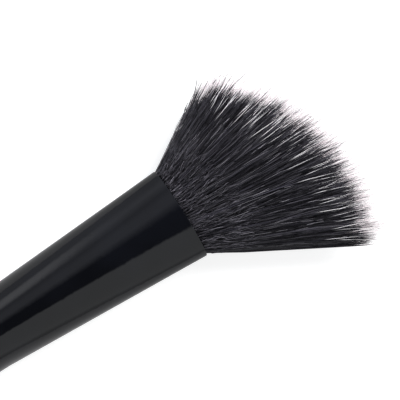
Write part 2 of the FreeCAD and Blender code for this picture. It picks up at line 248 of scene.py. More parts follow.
@dataclass(frozen=True)
class Lacquer:
    """Glossy lacquer sprayed over metal or wood: a slow orange peel, thin clouds and fine dust.

    Over wood a trace of the grain shows. Waves are to the metre, and depths are in metres.
    """

    name: str
    colour: Colour = (0.0016, 0.0018, 0.0028)
    index: float = 1.42
    gloss: float = 0.07
    haze: float = 0.05
    cloud_waves: float = 90.0
    cloud_steps: Pair = (0.35, 0.7)
    cloud_gain: float = 1.7
    dust_waves: float = 5200.0
    dust_steps: Pair = (0.66, 0.72)
    dust_haze: float = 0.12
    peel_waves: float = 420.0
    peel_depth: float = 0.000002
    grain_waves: Place = (60.0, 1800.0, 1800.0)
    grain_depth: float = 0.0

    def material(self) -> Material:
        """Builds the material on Object coordinates.

        Returns:
            The lacquer, whose colour, roughness and normal vary a little over the surface.
        """
        made, graph = blank_material(self.name)
        place = graph.node("ShaderNodeTexCoord", output="Object")
        peel = graph.noise(place, self.peel_waves, 1.0)
        dust = graph.noise(place, self.dust_waves, 2.0)
        cloud = graph.noise(place, self.cloud_waves, 2.0)
        grain = graph.streaks(place, self.grain_waves, 2.0)
        relief = peel * self.peel_depth + grain * self.grain_depth
        bumps = {"Strength": 1.0, "Distance": 1.0, "Height": relief}
        clouded = tuple(self.cloud_gain * part for part in self.colour)
        speck = dust.eased(*self.dust_steps)
        smoothest = self.gloss - self.haze / 2
        sockets = {
            "Base Color": graph.blend(cloud.eased(*self.cloud_steps), self.colour, clouded),
            "Roughness": cloud * self.haze + speck * self.dust_haze + smoothest,
            "Normal": graph.node("ShaderNodeBump", None, bumps, "Normal"),
            "IOR": self.index,
        }
        graph.principled(sockets)
        return made


@dataclass(frozen=True)
class Resin:
    """Cured amber resin, cloudy in places, with a little shine. Waves are to the metre."""

    name: str
    clear: Colour = (0.42, 0.27, 0.11)
    cloudy: Colour = (0.55, 0.43, 0.26)
    cloud_waves: float = 260.0
    cloud_steps: Pair = (0.4, 0.65)
    gloss: float = 0.25
    haze: float = 0.3

    def material(self) -> Material:
        """Builds the material: clouds of two ambers, and a roughness that follows them."""
        made, graph = blank_material(self.name)
        place = graph.node("ShaderNodeTexCoord", output="Object")
        cloud = graph.noise(place, self.cloud_waves, 4.0).eased(*self.cloud_steps)
        colour = graph.blend(cloud, self.clear, self.cloudy)
        graph.principled({"Base Color": colour, "Roughness": cloud * self.haze + self.gloss})
        return made


@dataclass(frozen=True)
class PackedFibre:
    """Dark fibres packed too close to tell apart: fine streaks along the brush.

    The streaks are darker where their relief is low: painted shade in the grooves between the
    fibres. Waves are to the metre, and the relief is in metres.
    """

    name: str
    # painted shade: the colour of the low streaks, darker than the raised ones
    painted_groove_shade: Colour = (0.003, 0.003, 0.004)
    raised: Colour = (0.02, 0.019, 0.023)
    streak_waves: Place = (150.0, 3600.0, 3600.0)
    streak_steps: Pair = (0.35, 0.7)
    relief: float = 0.0002
    roughness: float = 0.7
    shine: float = 0.2

    def material(self) -> Material:
        """Builds the material: noise drawn out along the brush gives colour and relief."""
        made, graph = blank_material(self.name)
        place = graph.node("ShaderNodeTexCoord", output="Object")
        streak = graph.streaks(place, self.streak_waves, 3.0)
        bumps = {"Distance": self.relief, "Height": streak}
        sockets = {
            # painted shade: the colour darkens where the streak's relief is low
            "Base Color": graph.blend(streak.eased(*self.streak_steps), self.painted_groove_shade, self.raised),
            "Roughness": self.roughness,
            "Specular IOR Level": self.shine,
            "Normal": graph.node("ShaderNodeBump", None, bumps, "Normal"),
        }
        graph.principled(sockets)
        return made


class Dye(Enum):
    """How a fibre is dyed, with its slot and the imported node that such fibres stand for."""

    DARK = ("dark_fibre", "dark_bristles")
    PALE_TIPPED = ("pale_fibre", "pale_bristles")


@dataclass(frozen=True)
class FibreDyeAndGlints:
    """The colour of fibres, read from their own map: the tone across, the way to the tip up.

    Lengths are in millimetres. The glints are painted highlights: the tone swings along each
    fibre as if it caught the light here and there. The scatters set fibres of neighbouring tones
    apart.
    """

    name: str
    dye: Dye = Dye.DARK
    darkest: Colour = (0.0024, 0.0022, 0.0034)
    lightest: Colour = (0.104, 0.098, 0.128)
    contrast: float = 4.0
    glint_length: float = 14.0
    glint_share: float = 0.55
    glint_scatter: float = 90.0
    pale: Colour = (0.96, 0.94, 0.95)
    pale_blush: Colour = (0.93, 0.82, 0.85)
    blush_scatter: float = 7.0
    shortest_tip: float = 3.0
    longest_tip: float = 7.0
    fading: float = 3.0
    roughness: float = 0.45
    shine: float = 0.22

    def material(self) -> Material:
        """Builds the material.

        The tone rises with a power of the place across the map, so most fibres are dark. It
        swings along the fibre, because a bent fibre catches the light only here and there.

        Returns:
            The dye, which for pale-tipped fibres turns pale over a stretch that differs from
            tone to tone.
        """
        made, graph = blank_material(self.name)
        chart = graph.node("ShaderNodeUVMap", {"uv_map": STRAND_MAP})
        tone, way = graph.part(chart, "X"), graph.part(chart, "Y")
        # painted highlights: the glint lightens and darkens the tone along the fibre
        swing = way * (2 * math.pi * CHART_REACH / self.glint_length) + tone * self.glint_scatter
        glint = swing.swinging() * self.glint_share + (1 - self.glint_share)
        colour = graph.blend(tone**self.contrast * glint, self.darkest, self.lightest)
        if self.dye is Dye.PALE_TIPPED:
            tip_length = self.shortest_tip + (self.longest_tip - self.shortest_tip) * tone
            turn = 1.0 - tip_length / CHART_REACH
            blush = (tone * self.blush_scatter).fraction()
            paling = way.eased(turn - self.fading / CHART_REACH, turn)
            colour = graph.blend(paling, colour, graph.blend(blush, self.pale, self.pale_blush))
        sockets = {"Roughness": self.roughness, "Specular IOR Level": self.shine}
        graph.principled({"Base Color": colour, **sockets})
        return made


# Meshes from arrays


def evenly(count: int, chance: np.random.Generator) -> tuple[Array, Array, Array]:
    """Spreads points in a unit cube with no clumps: the fractions of start + number * step."""
    start = chance.uniform(0, 1, 3)
    number = np.arange(count)
    return tuple(np.mod(first + number * step, 1) for first, step in zip(start, EVEN_STEPS))


def ring_walls(rings: int, around: int) -> tuple[Array, Array, Array]:
    """Lists the quads between rings of points that are numbered one ring after another.

    With n points round a ring, the quad at ring r and corner c joins the points r n + c,
    r n + c', (r + 1) n + c' and (r + 1) n + c, where c' is the corner after c.

    Args:
        rings: How many rings there are.
        around: How many points go round each.

    Returns:
        The quads, one row each, and each quad's ring and corner.
    """
    ring, corner = np.meshgrid(np.arange(rings - 1), np.arange(around), indexing="ij")
    ring, corner = ring.ravel(), corner.ravel()
    after = (corner + 1) % around
    near, far = ring * around, (ring + 1) * around
    walls = np.stack((near + corner, near + after, far + after, far + corner), axis=1)
    return walls, ring, corner


def put_in_scene(name: str, data: ID) -> Object:
    """Puts that data into the scene as a new object at the origin."""
    made = bpy.data.objects.new(name, data)
    bpy.context.scene.collection.objects.link(made)
    return made


def write_mesh(
    name: str,
    points: Array,
    corners: Array,
    sizes: Array,
    chart: Array | None,
    material: Material,
) -> Object:
    """Puts a mesh and its map into a new object at the origin.

    Args:
        name: The piece's name.
        points: Vertices in millimetres, one row each.
        corners: Vertex numbers of all the faces, end to end.
        sizes: How many corners each face has, in the same order.
        chart: Map places of the corners, one row each, or None.
        material: The piece's material.

    Returns:
        The new object.
    """
    mesh = bpy.data.meshes.new(name)
    mesh.vertices.add(len(points))
    mesh.vertices.foreach_set("co", (points * MILLIMETRE).astype(np.float32).ravel())
    mesh.loops.add(len(corners))
    mesh.loops.foreach_set("vertex_index", corners.astype(np.int32))
    mesh.polygons.add(len(sizes))
    starts = np.concatenate(([0], np.cumsum(sizes)[:-1]))
    mesh.polygons.foreach_set("loop_start", starts.astype(np.int32))
    mesh.polygons.foreach_set("use_smooth", np.ones(len(sizes), dtype=bool))
    if chart is not None:
        layer = mesh.uv_layers.new(name=STRAND_MAP)
        layer.data.foreach_set("uv", chart.astype(np.float32).ravel())
    mesh.update(calc_edges=True)
    mesh.validate()
    mesh.materials.append(material)
    return put_in_scene(name, mesh)


def enlist(piece: Object, slot: str, *stands_for: str) -> None:
    """Sets a finished piece on the body that it rides on, and hides the imported nodes that it
    stands for.
    """
    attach(piece, BODY)
    if stands_for:
        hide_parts(*stands_for)
    LOG.info("%s: %d faces", piece.name, len(piece.data.polygons))


@dataclass(frozen=True)
class Strands:
    """Thin tapered tubes along many lines at once, closed at the root and pointed at the tip."""

    sides: int = 3
    turn_spread: float = 40.0

    def write(
        self,
        name: str,
        lines: Array,
        radii: Array,
        tones: Array,
        ways: Array,
        material: Material,
    ) -> Object:
        """Builds the tubes, each with walls between its rings, a pointed cap and a flat butt.

        Args:
            name: The piece's name.
            lines: Fibres by stations by three, in millimetres. The last station is the tip.
            radii: Fibres by stations, in millimetres; the last station's isn't used.
            tones: Each fibre's tone, from 0 to 1, which picks its column of the map.
            ways: Fibres by stations, how far up the map each station lies.
            material: The fibres' material.

        Returns:
            One object with all the fibres.
        """
        count, stations, _ = lines.shape
        walls, ring, corner = ring_walls(stations - 1, self.sides)
        edge = np.arange(self.sides)
        last, tip = (stations - 2) * self.sides, (stations - 1) * self.sides
        cap = (last + edge, last + (edge + 1) % self.sides, np.full(self.sides, tip))
        butt = edge[::-1]
        pattern = np.concatenate((walls.ravel(), np.stack(cap, axis=1).ravel(), butt))
        sizes = np.concatenate((np.full(len(walls), 4), np.full(self.sides, 3), [self.sides]))
        corners = (pattern[None] + (tip + 1) * np.arange(count)[:, None]).ravel()
        chart = self._chart(tones, ways, ring, corner)
        points = self._points(lines, radii)
        return write_mesh(name, points, corners, np.tile(sizes, count), chart, material)

    def _points(self, lines: Array, radii: Array) -> Array:
        """Places each tube's rings and its tip.

        A ring's point is line + radius * (cos(angle) * side + sin(angle) * up), where side is
        level and square to the line, and up is square to both. The angle differs from fibre to
        fibre, so that not all tubes show the same flat.

        Args:
            lines: Fibres by stations by three.
            radii: Fibres by stations.

        Returns:
            The points, one row each, fibre after fibre.
        """
        count = len(lines)
        run = np.gradient(lines, axis=1)
        run /= np.linalg.norm(run, axis=2, keepdims=True)
        side = np.cross(run, np.array([0.0, 0.0, 1.0]))
        side /= np.linalg.norm(side, axis=2, keepdims=True)
        up = np.cross(run, side)
        corner_angle = 2 * np.pi * np.arange(self.sides) / self.sides
        angle = corner_angle + np.linspace(0, self.turn_spread, count)[:, None]
        spoke = (
            np.cos(angle)[:, None, :, None] * side[:, :-1, None]
            + np.sin(angle)[:, None, :, None] * up[:, :-1, None]
        )
        hoops = lines[:, :-1, None] + radii[:, :-1, None, None] * spoke
        tubes = np.concatenate((hoops.reshape(count, -1, 3), lines[:, -1:]), axis=1)
        return tubes.reshape(-1, 3)

    def _chart(self, tones: Array, ways: Array, ring: Array, corner: Array) -> Array:
        """Maps the faces' corners: across by the fibre's tone, up by the station's way.

        Args:
            tones: Each fibre's tone.
            ways: Fibres by stations.
            ring: The ring of each wall quad.
            corner: The corner of each wall quad.

        Returns:
            Map places, one row each, in the order of the faces' corners.
        """
        edge = np.arange(self.sides)
        left, right = self._in_column(corner), self._in_column(corner + 1)
        cap_left, cap_right = self._in_column(edge), self._in_column(edge + 1)
        wall_u = np.stack((left, right, right, left), axis=1).ravel()
        cap_u = np.stack((cap_left, cap_right, (cap_left + cap_right) / 2), axis=1).ravel()
        butt_u = np.linspace(COLUMN_MARGIN, 1 - COLUMN_MARGIN, self.sides)
        tip = ways.shape[1] - 1
        wall_station = np.stack((ring, ring, ring + 1, ring + 1), axis=1).ravel()
        cap_station = np.tile((tip - 1, tip - 1, tip), self.sides)
        butt_station = np.zeros(self.sides, dtype=int)
        just_under_all = TONE_COLUMNS - 1e-6
        column = (np.floor(tones * just_under_all) / TONE_COLUMNS)[:, None]
        chart_u = column + np.concatenate((wall_u, cap_u, butt_u))[None] / TONE_COLUMNS
        chart_v = ways[:, np.concatenate((wall_station, cap_station, butt_station))]
        return np.stack((chart_u, chart_v), axis=2).reshape(-1, 2)

    def _in_column(self, corner: Array) -> Array:
        """How far across its column of the map a tube's corner lies, between the margins."""
        return COLUMN_MARGIN + (1 - 2 * COLUMN_MARGIN) * corner / self.sides


# Tuft


@dataclass(frozen=True)
class Fan:
    """The tuft's form. Sizes are in millimetres.

    A place in it is across (-1 at the long low side, 1 at the short high side), through (-1 at
    the face that the brush lies on, 1 at the upper face) and a share of the way from the mouth
    to the pale end.
    """

    mouth: Place
    mouth_half_width: float = 10.4
    mouth_half_thickness: float = 4.9
    tuft_half_thickness: float = 8.2
    full_thickness_reach: float = 26.0
    arc_centre: Pair = (1.81, -11.21)
    arc_radius: float = 37.43
    low_angle: float = -28.35
    high_angle: float = 60.22
    side_roundness: float = 2.6
    bore_widening: float = 0.056
    bore_flattening: float = 0.054
    straight_reach: float = 40.0
    dome: float = 0.17

    def ends(self, across: Array) -> tuple[Array, Array]:
        """Where fibres end, ahead of the mouth and sideways.

        The ends lie on a circle, at an angle that rises evenly with across.

        Args:
            across: Places across the fan.

        Returns:
            How far ahead and how far sideways.
        """
        swept = (across + 1) / 2 * (self.high_angle - self.low_angle)
        angle = np.radians(self.low_angle + swept)
        ahead = self.arc_centre[0] + self.arc_radius * np.cos(angle)
        sideways = self.arc_centre[1] + self.arc_radius * np.sin(angle)
        return ahead, sideways

    def lengths(self, across: Array) -> Array:
        """How long fibres are from the mouth to the pale end."""
        ahead, sideways = self.ends(across)
        return np.hypot(ahead, sideways - self.mouth_half_width * across)

    def rim(self, across: Array, share: Array) -> Array:
        """The thickness towards the sides, as a share: (1 - |across| ** p) ** (1 / p).

        Here p goes from 2 at the mouth to the side's roundness at the pale end.
        """
        power = 2 + (self.side_roundness - 2) * np.clip(share, 0, 1)
        return np.maximum(1 - np.abs(np.clip(across, -1, 1)) ** power, 0) ** (1 / power)

    def place(self, across: Array, through: Array, share: Array) -> Array:
        """Points of the tuft.

        Ahead is share * end. Sideways runs straight from the mouth to the end. The height is
        through * rim * a half thickness that grows as a quarter sine wave. Behind the mouth
        the bore is followed.

        Args:
            across: Places across the fan.
            through: Places through its thickness.
            share: Shares of the way to the pale end, below 0 in the ferrule.

        Returns:
            Points in millimetres in the frame of the whole brush, in a last axis of three.
        """
        across, through, share = np.broadcast_arrays(across, through, share)
        end_ahead, end_sideways = self.ends(across)
        inside = np.minimum(share, 0) * self.straight_reach
        outside = np.maximum(share, 0)
        ahead = outside * end_ahead + inside
        bore_half_width = self.mouth_half_width + self.bore_widening * inside
        sideways = bore_half_width * across * (1 - outside) + outside * end_sideways
        swell = np.sin(np.pi / 2 * np.clip(ahead / self.full_thickness_reach, 0, 1))
        growth = self.tuft_half_thickness - self.mouth_half_thickness
        half = self.mouth_half_thickness + growth * swell
        height = through * self.rim(across, share) * (half - self.bore_flattening * inside)
        x, y, z = self.mouth
        return np.stack((x + ahead, y + sideways, z + height), axis=-1)

    def domed(self, across: Array, through: Array) -> Array:
        """The share of their length that fibres keep: 1 - dome * through ** 2 * rim."""
        return 1 - self.dome * through**2 * self.rim(across, np.ones_like(across))


@dataclass(frozen=True)
class Locks:
    """Fibres cling together in locks: towards their tips they lean to the middle of their lock.

    The overfills spread the locks' middles a little past the fan, so that its sides get some.
    """

    count: int
    seed: int
    pull: float = 0.1
    reach_spread: float = 0.02
    point: float = 0.001
    sink: float = 0.0
    pull_spread: Pair = (0.5, 1.3)
    overfill_across: float = 1.05
    overfill_through: float = 1.1
    jitter: float = 0.01
    fan_half_width: float = 26.0

    def gather(self, fan: Fan, across: Array, through: Array) -> tuple[Array, Array, Array]:
        """Finds each fibre's nearest lock. A lock is longest in its middle.

        Args:
            fan: The tuft's form.
            across: The fibres' places across the fan.
            through: Their places through it.

        Returns:
            The lean across and through at the tip, and the change of the length's share.
        """
        chance = np.random.default_rng(self.seed)
        spread_across, spread_through, _ = evenly(self.count, chance)
        wide, thick = self.overfill_across, self.overfill_through
        shaken = chance.normal(0, self.jitter, self.count)
        middle_across = np.clip(2 * wide * spread_across - wide + shaken, -1, 1)
        middle_through = np.clip(2 * thick * spread_through - thick, -1, 1)
        pulls = self.pull * chance.uniform(*self.pull_spread, self.count)
        reaches = chance.normal(0, self.reach_spread, self.count)
        sinks = self.sink * chance.uniform(0, 1, self.count) ** 2
        off_across = (middle_across[None] - across[:, None]) * self.fan_half_width
        off_through = (middle_through[None] - through[:, None]) * fan.tuft_half_thickness
        distance = np.hypot(off_across, off_through)
        own = np.argmin(distance, axis=1)
        away = np.take_along_axis(distance, own[:, None], axis=1)[:, 0]
        lean_across = pulls[own] * (middle_across[own] - across)
        lean_through = pulls[own] * (middle_through[own] - through) - sinks[own] * through
        return lean_across, lean_through, reaches[own] - self.point * away**2


@dataclass(frozen=True)
class Coat:
    """One kind of fibre in the tuft.

    Lengths and widths are in millimetres. The trim is a table of how much shorter the fibres
    are at places across the fan. The skin is the share of fibres that lie between skin_from and
    skin_to through the fan, and the others fill what is under them.
    """

    name: str
    seed: int
    count: int
    finish: FibreDyeAndGlints
    locks: Locks
    short_of_end: float
    length_spread: float
    drift: float
    width: float = 0.12
    wave: float = 0.02
    skin_from: float = 0.5
    skin_to: float = 1.0
    skin: float = 1.0
    across: Pair = (-1.0, 1.0)
    trim: Table = ((-1.0, 1.0), (0.0, 0.0))
    shortest: float = 0.95
    longest: float = 1.0
    width_spread: float = 0.3
    turns: Pair = (1.0, 3.5)
    dip: float = 0.0
    clinging: float = 3.6
    across_limits: Pair = (-1.03, 1.12)
    through_limits: Pair = (-0.985, 1.08)
    root_depth: float = 0.07
    taper_from: float = 0.8
    tip_thinning: float = 0.75
    tip_sharpness: float = 1.5
    stations: int = 7
    parts: int = 1

    def _run(self, share: Array, chance: np.random.Generator) -> tuple[Array, Array]:
        """Places along the fibres, and where their drift begins.

        Here they run from inside the ferrule, and drift from its mouth on.
        """
        along = share[:, None] * np.concatenate(([0.0], np.linspace(0, 1, self.stations - 1)))
        along[:, 0] = -self.root_depth
        return along, np.zeros((self.count, 1))

    def _dive(self, step: Array) -> Array:
        """How far below its layer a fibre is, at each step of its way: here nowhere."""
        return np.zeros_like(step)

    def build(self, fan: Fan) -> None:
        """Lays every fibre to its tip and writes them out.

        Across and through, a fibre keeps its place, leans to its lock by a power of the way,
        drifts in proportion to the way, and swings as a sine of it. Its radius falls by a
        power of the step over its last stretch.

        Args:
            fan: The tuft's form.
        """
        chance = np.random.default_rng(self.seed)
        spread_across, layer, tones = evenly(self.count, chance)
        across = self.across[0] + (self.across[1] - self.across[0]) * spread_across
        shares, depths = (0, 1 - self.skin, 1), (0, self.skin_from, self.skin_to)
        through = np.sign(layer - 0.5) * np.interp(np.abs(2 * layer - 1), shares, depths)
        lean_across, lean_through, reach = self.locks.gather(fan, across, through)
        drift_across = chance.normal(0, self.drift, self.count)
        drift_through = chance.normal(0, self.drift, self.count)
        lengths = fan.lengths(across)
        short = np.abs(chance.normal(0, self.length_spread, self.count)) + self.short_of_end
        short = short + np.interp(across, *self.trim)
        share = fan.domed(across, np.clip(through, -1, 1)) * (1 - short / lengths) + reach
        share = share * chance.uniform(self.shortest, self.longest, self.count)

        step = np.linspace(0, 1, self.stations)[None]
        along, pivot = self._run(share, chance)
        free = np.clip(along, 0, None)
        drifting = free - pivot
        clinging = free**self.clinging
        ripple = chance.uniform(0, 2 * np.pi, (self.count, 1))
        turns = chance.uniform(*self.turns, (self.count, 1))
        wave = self.wave * chance.normal(0, 1, (self.count, 1)) * np.sqrt(free)
        a = across[:, None] + lean_across[:, None] * clinging
        a = a + drift_across[:, None] * drifting
        a = a + wave * np.sin(ripple + turns * np.pi * along)
        b = through[:, None] + lean_through[:, None] * clinging
        b = b + drift_through[:, None] * drifting
        b = b + self.dip * np.sqrt(free) * np.sin(2 * ripple + (turns + 1) * np.pi * along)
        b = b - np.sign(through)[:, None] * self._dive(step)
        a, b = np.clip(a, *self.across_limits), np.clip(b, *self.through_limits)
        lines = fan.place(a, b, along)

        least, most = 1 - self.width_spread, 1 + self.width_spread
        thick = self.width / 2 * chance.uniform(least, most, (self.count, 1))
        taper = np.clip((step - self.taper_from) / (1 - self.taper_from), 0, 1)
        radii = thick * (1 - self.tip_thinning * taper**self.tip_sharpness)
        ways = 1 - (along[:, -1:] - along) * lengths[:, None] / CHART_REACH
        material = self.finish.material()
        for number, own in enumerate(np.array_split(np.arange(self.count), self.parts), start=1):
            name = f"{self.name}_{number}"
            strands = lines[own], radii[own], tones[own], ways[own]
            enlist(Strands().write(name, *strands, material), *self.finish.dye.value)


@dataclass(frozen=True)
class SurfacingCoat(Coat):
    """Fibres seen where they come up from the mass, cross the others and go under again."""

    begins: Pair = (0.0, 0.85)
    spans: Pair = (0.07, 0.24)
    crowding: float = 1.3
    latest: float = 0.9
    lead: float = 0.02
    arch: float = 0.1

    def _run(self, share: Array, chance: np.random.Generator) -> tuple[Array, Array]:
        """Stretches that begin anywhere in a range, and drift about their own middles.

        A crowding over 1 puts more of them near the mouth.
        """
        first, last = self.begins
        root = first + (last - first) * chance.uniform(0, 1, self.count) ** self.crowding
        root = np.minimum(root, self.latest * share) - self.lead
        end = np.minimum(root + chance.uniform(*self.spans, self.count), share)
        along = root[:, None] + (end - root)[:, None] * np.linspace(0, 1, self.stations)
        return along, along.mean(axis=1, keepdims=True)

    def _dive(self, step: Array) -> Array:
        """The depth under an arch: all at the ends and none half way, as 1 - sin(pi * step)."""
        return self.arch * (1 - np.sin(np.pi * step))


@dataclass(frozen=True)
class Core:
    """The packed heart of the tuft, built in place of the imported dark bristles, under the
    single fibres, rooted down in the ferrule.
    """

    name: str = "tuft_heart"
    fullness: float = 0.84
    bore_fullness: float = 0.98
    root_share: float = -0.54
    front_share: float = 0.64
    closing_share: float = 0.16
    closing: float = 0.96
    rings: int = 44
    spokes: int = 96

    def build(self, fan: Fan) -> None:
        """Wraps closed rings round the fan's middle, and closes both ends in a pole.

        At angle w a ring's place is size * cos(w) across, and its height is size * sin(w) of
        the half thickness. The size shrinks to the front as a quarter of an ellipse.

        Args:
            fan: The tuft's form.
        """
        share = np.linspace(self.root_share, self.front_share, self.rings)[:, None]
        angle = np.linspace(0, 2 * np.pi, self.spokes, endpoint=False)[None]
        before_front = np.clip((self.front_share - share) / self.closing_share, 0, 1)
        size = self.fullness * np.sqrt(1 - (1 - before_front) ** 2 * self.closing)
        size = np.where(share < 0, self.bore_fullness, size)
        across = size * np.cos(angle)
        share = np.broadcast_to(share, across.shape)
        thinnest_rim = 1e-3
        through = size * np.sin(angle) / np.maximum(fan.rim(across, share), thinnest_rim)
        hoops = fan.place(across, through, share)
        poles = np.stack((hoops[0].mean(axis=0), hoops[-1].mean(axis=0)))
        points = np.concatenate((hoops.reshape(-1, 3), poles))
        walls, _, _ = ring_walls(self.rings, self.spokes)
        edge = np.arange(self.spokes)
        after = (edge + 1) % self.spokes
        last = (self.rings - 1) * self.spokes
        first_pole, last_pole = len(points) - 2, len(points) - 1
        back = np.stack((edge, after, np.full(self.spokes, first_pole)), axis=1)
        front = np.stack((last + after, last + edge, np.full(self.spokes, last_pole)), axis=1)
        corners = np.concatenate((walls[:, ::-1].ravel(), back.ravel(), front.ravel()))
        sizes = np.concatenate((np.full(len(walls), 4), np.full(2 * self.spokes, 3)))
        material = PackedFibre("dark_fibre_packed").material()
        piece = write_mesh(self.name, points, corners, sizes, None, material)
        enlist(piece, *Dye.DARK.value)


@dataclass(frozen=True)
class Tuft:
    """All the hair of the brush: a packed heart, and coats of single fibres over it."""

    fan: Fan
    coats: Sequence[Coat]

    def build(self) -> None:
        """Builds the heart and every coat."""
        Core().build(self.fan)
        for coat in self.coats:
            coat.build(self.fan)


def dark_coats() -> list[Coat]:
    """The dark mass: its depth, its skin of locks, and fibres that surface from it, toned lighter
    than the mass as painted sheen.
    """
    dye = FibreDyeAndGlints("dark_fibre_dye", lightest=(0.104, 0.099, 0.119), contrast=1.8)
    locks = Locks(count=1000, pull=0.95, reach_spread=0.042, point=0.28, seed=11, sink=0.03)
    trim = (
        (-1.0, -0.86, -0.49, -0.04, 0.41, 0.81, 1.0),
        (4.8, 2.1, -0.3, 0.6, -0.4, 2.3, 2.8),
    )
    inner = Coat(
        name="dark_inner_hair", seed=20, count=6500,
        finish=dye, locks=locks, short_of_end=-2.0, length_spread=1.0, trim=trim,
        width=0.16, drift=0.03, wave=0.01, skin=0.0, skin_from=0.74, shortest=0.985,
        taper_from=0.9, stations=5,
    )
    outer = replace(
        inner,
        name="dark_outer_hair", seed=21, count=10400,
        width=0.15, drift=0.045, turns=(2.0, 6.0), dip=0.04, skin=1.0, skin_from=0.68,
        skin_to=0.96, stations=10, parts=4,
    )
    # Dark fibres near the mouth toned light grey: painted sheen on the crossing fibres.
    crinkled = SurfacingCoat(
        name="crinkled_hair", seed=28, count=2300,
        finish=FibreDyeAndGlints("crinkled_fibre_painted_sheen", lightest=(0.235, 0.223, 0.258), contrast=1.0),
        locks=Locks(count=260, pull=0.0, reach_spread=0.0, point=0.0, seed=18),
        short_of_end=1.0, length_spread=1.0, width=0.1, drift=0.6, turns=(8.0, 20.0),
        skin_from=0.98, skin_to=1.05, taper_from=0.6, stations=8, begins=(0.0, 0.32),
        spans=(0.04, 0.1),
    )
    # Dark fibres toned light grey: painted sheen where they surface over the mass.
    flyaway = SurfacingCoat(
        name="dark_flyaway_hair", seed=23, count=700,
        finish=FibreDyeAndGlints("flyaway_fibre_painted_sheen", lightest=(0.4, 0.384, 0.425), contrast=2.4),
        locks=Locks(count=260, pull=0.2, seed=13),
        short_of_end=3.0, length_spread=2.0, width=0.09, drift=0.1, wave=0.01,
        turns=(2.0, 6.0), skin_from=0.97, skin_to=1.05, taper_from=0.6, stations=8,
        begins=(0.06, 0.8), spans=(0.14, 0.34), crowding=0.9,
    )
    return [inner, outer, crinkled, flyaway]


def pale_coats() -> list[Coat]:
    """The longer pale-tipped fibres: the fringe, and streaks on the faces and at the sides."""
    fringe = Coat(
        name="pale_hair", seed=22, count=2200,
        finish=FibreDyeAndGlints("pale_fibre_dye", Dye.PALE_TIPPED),
        locks=Locks(count=800, pull=0.7, reach_spread=0.035, point=0.05, seed=12),
        short_of_end=-4.8, length_spread=1.6,
        trim=((-1.0, -0.85, 1.0), (2.0, 0.2, 0.0)),
        width=0.17, drift=0.03, wave=0.016, skin=0.12, skin_from=0.38, skin_to=0.8,
        shortest=0.99, taper_from=0.88,
    )
    streaks = Coat(
        name="pale_streak_hair", seed=24, count=235,
        finish=FibreDyeAndGlints(
            "streak_fibre_dye", Dye.PALE_TIPPED, pale_blush=(0.9, 0.87, 0.9),
            shortest_tip=1.5, longest_tip=7.5,
        ),
        locks=Locks(count=320, seed=14),
        short_of_end=-4.3, length_spread=1.8, width_spread=0.25, drift=0.04,
        skin_from=0.78, skin_to=1.08, across=(-0.95, 0.92), shortest=0.96,
    )
    side_streaks = Coat(
        name="pale_side_streak_hair", seed=26, count=420,
        finish=FibreDyeAndGlints(
            "side_streak_fibre_dye", Dye.PALE_TIPPED, shortest_tip=2.0, longest_tip=6.0
        ),
        locks=Locks(count=320, seed=16),
        short_of_end=-2.5, length_spread=2.0, width=0.18, width_spread=0.25, drift=0.05,
        skin_from=0.35, skin_to=0.85,
    )
    return [fringe, streaks, side_streaks]


def stray_coats() -> list[Coat]:
    """The few that stand out: at the short side, at its corner, and here and there."""
    # Dark fibres toned light grey: painted glints along the short side.
    frayed = Coat(
        name="frayed_side_hair", seed=25, count=190,
        finish=FibreDyeAndGlints("frayed_fibre_painted_glints", lightest=(0.5, 0.48, 0.5), contrast=1.5),
        locks=Locks(count=60, reach_spread=0.05, seed=15),
        short_of_end=-2.5, length_spread=2.5, drift=0.02, skin=0.4, across=(0.97, 1.03),
        shortest=0.55, longest=1.06,
    )
    wisps = Coat(
        name="dark_wisp_hair", seed=29, count=26,
        finish=FibreDyeAndGlints("wisp_fibre_dye", lightest=(0.05, 0.048, 0.056), contrast=1.5),
        locks=Locks(count=60, reach_spread=0.03, seed=18),
        short_of_end=-6.6, length_spread=1.8, width=0.24, drift=0.05, skin=0.5,
        skin_to=0.9, across=(0.8, 1.0), shortest=0.97, taper_from=0.9,
    )
    loose = Coat(
        name="dark_loose_hair", seed=30, count=60,
        finish=FibreDyeAndGlints("loose_fibre_dye", lightest=(0.2, 0.19, 0.22), contrast=1.5),
        locks=Locks(count=60, reach_spread=0.03, seed=19),
        short_of_end=-2.6, length_spread=1.5, drift=0.07, wave=0.03, skin=0.0,
        shortest=0.97, taper_from=0.9,
    )
    return [frayed, wisps, loose]


# Barrel


@dataclass(frozen=True)
class Barrel:
    """The solid parts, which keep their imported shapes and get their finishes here."""

    handle: Lacquer = Lacquer("lacquered_wood", gloss=0.085, grain_depth=0.0000012)
    ferrule: Lacquer = Lacquer("lacquered_metal")
    glue_plug: Resin = Resin("cured_resin")

    def dress(self, nodes: Mapping[str, Object]) -> None:
        """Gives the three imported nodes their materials."""
        finishes = {"handle": self.handle, "ferrule": self.ferrule, "glue_plug": self.glue_plug}
        for name, finish in finishes.items():
            nodes[name].data.materials[0] = finish.material()
            LOG.info("%s: %s", name, finish.name)


# Studio and camera


